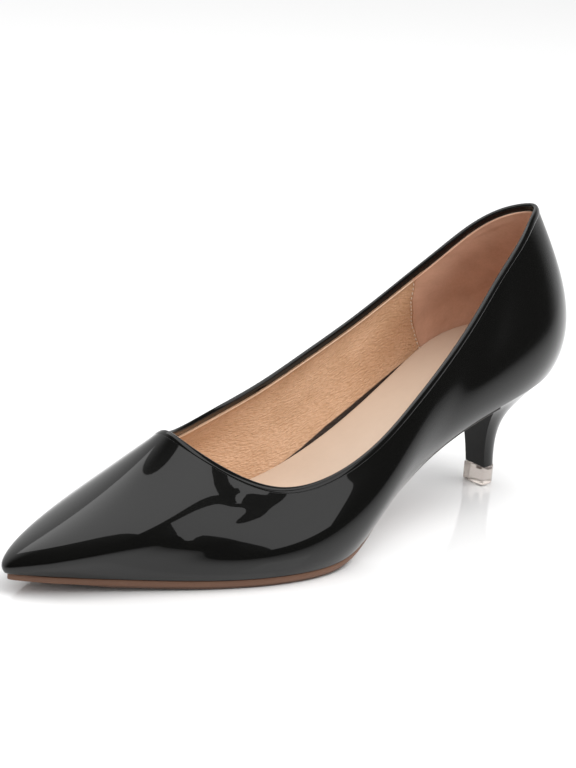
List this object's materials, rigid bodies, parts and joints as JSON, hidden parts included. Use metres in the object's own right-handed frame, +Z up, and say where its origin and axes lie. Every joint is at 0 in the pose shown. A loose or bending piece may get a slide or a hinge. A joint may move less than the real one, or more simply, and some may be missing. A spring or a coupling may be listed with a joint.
{
  "type": "kitten heel pump",
  "caption": "Pointed-toe kitten heel pump for the left foot: hollow patent upper with an open collar, thin sole, padded insole, curved low heel and clear top piece.",
  "frame": {"origin": "on the floor under the middle of the shoe's bounding box", "axes": "+Z up, toe towards -Y, the wearer's left (outer side) towards +X"},
  "size_m": [0.0849, 0.2569, 0.1126],
  "materials": {
    "patent": "high-gloss black patent",
    "lining": "tan grained lining, satin",
    "insole": "smooth light beige, satin",
    "outsole": "brown, satin",
    "heel_cover": "gloss black",
    "clear_tip": "clear, polished"
  },
  "bodies": {
    "root": {"upper": "patent", "insole": "insole", "outsole": "outsole", "heel": "heel_cover", "heel_tip": "clear_tip"}
  },
  "joints": []
}
